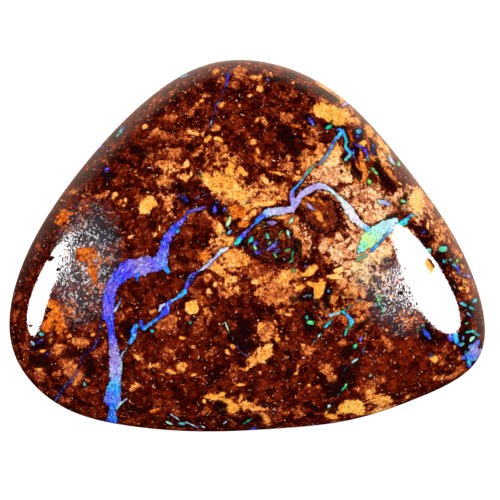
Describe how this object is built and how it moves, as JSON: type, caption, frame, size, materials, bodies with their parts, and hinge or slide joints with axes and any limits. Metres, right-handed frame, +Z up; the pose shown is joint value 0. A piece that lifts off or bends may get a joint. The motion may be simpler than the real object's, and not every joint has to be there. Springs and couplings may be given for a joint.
{
  "type": "boulder opal cabochon",
  "caption": "Free-form polished boulder opal: a domed, rounded-triangle slab of ironstone with blue and green opal seams and a flat back.",
  "frame": {"origin": "middle of the plan's box, on the flat back that the stone rests on", "axes": "+X along the longest side, towards the sharper lower corner; +Y across the face, towards the rounded apex; +Z up through the dome"},
  "size_m": [0.0332, 0.026, 0.0066],
  "materials": {
    "boulder_opal": "polished ironstone with opal seams"
  },
  "bodies": {
    "root": {"boulder_opal": "boulder_opal"}
  },
  "joints": []
}
